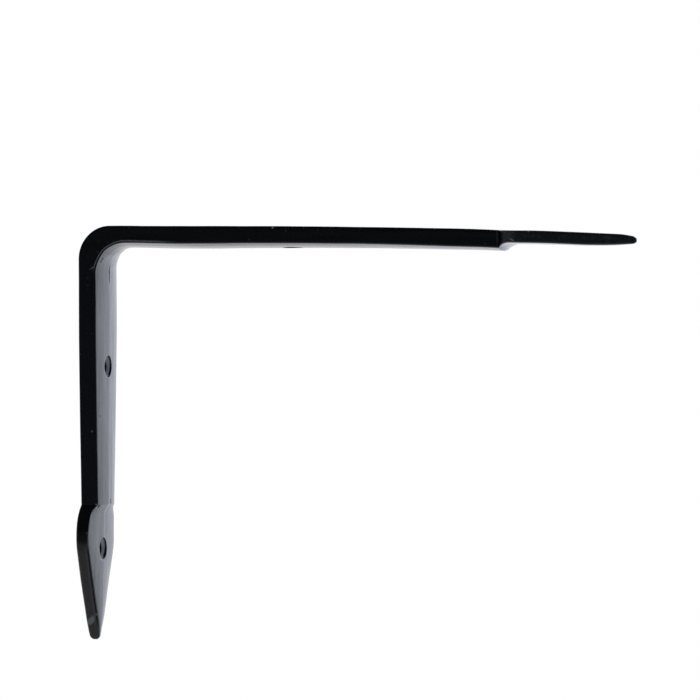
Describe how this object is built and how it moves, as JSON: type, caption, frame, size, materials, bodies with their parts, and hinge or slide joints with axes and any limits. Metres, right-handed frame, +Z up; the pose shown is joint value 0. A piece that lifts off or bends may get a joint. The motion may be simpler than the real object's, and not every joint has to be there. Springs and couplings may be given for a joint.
{
  "type": "shelf bracket",
  "caption": "Right-angle shelf bracket forged from flat steel bar, with spear-shaped leaf ends and countersunk screw holes, painted black.",
  "frame": {"origin": "the outer corner, where the wall plane and the shelf's underside meet, at the middle of the bar's width", "axes": "+X away from the wall along the arm, +Z up, Y across the bar; the leg runs down along -Z"},
  "size_m": [0.167, 0.0242, 0.123],
  "materials": {
    "black_paint": "satin black paint over hammered steel"
  },
  "bodies": {
    "root": {"bracket": "black_paint"}
  },
  "joints": []
}
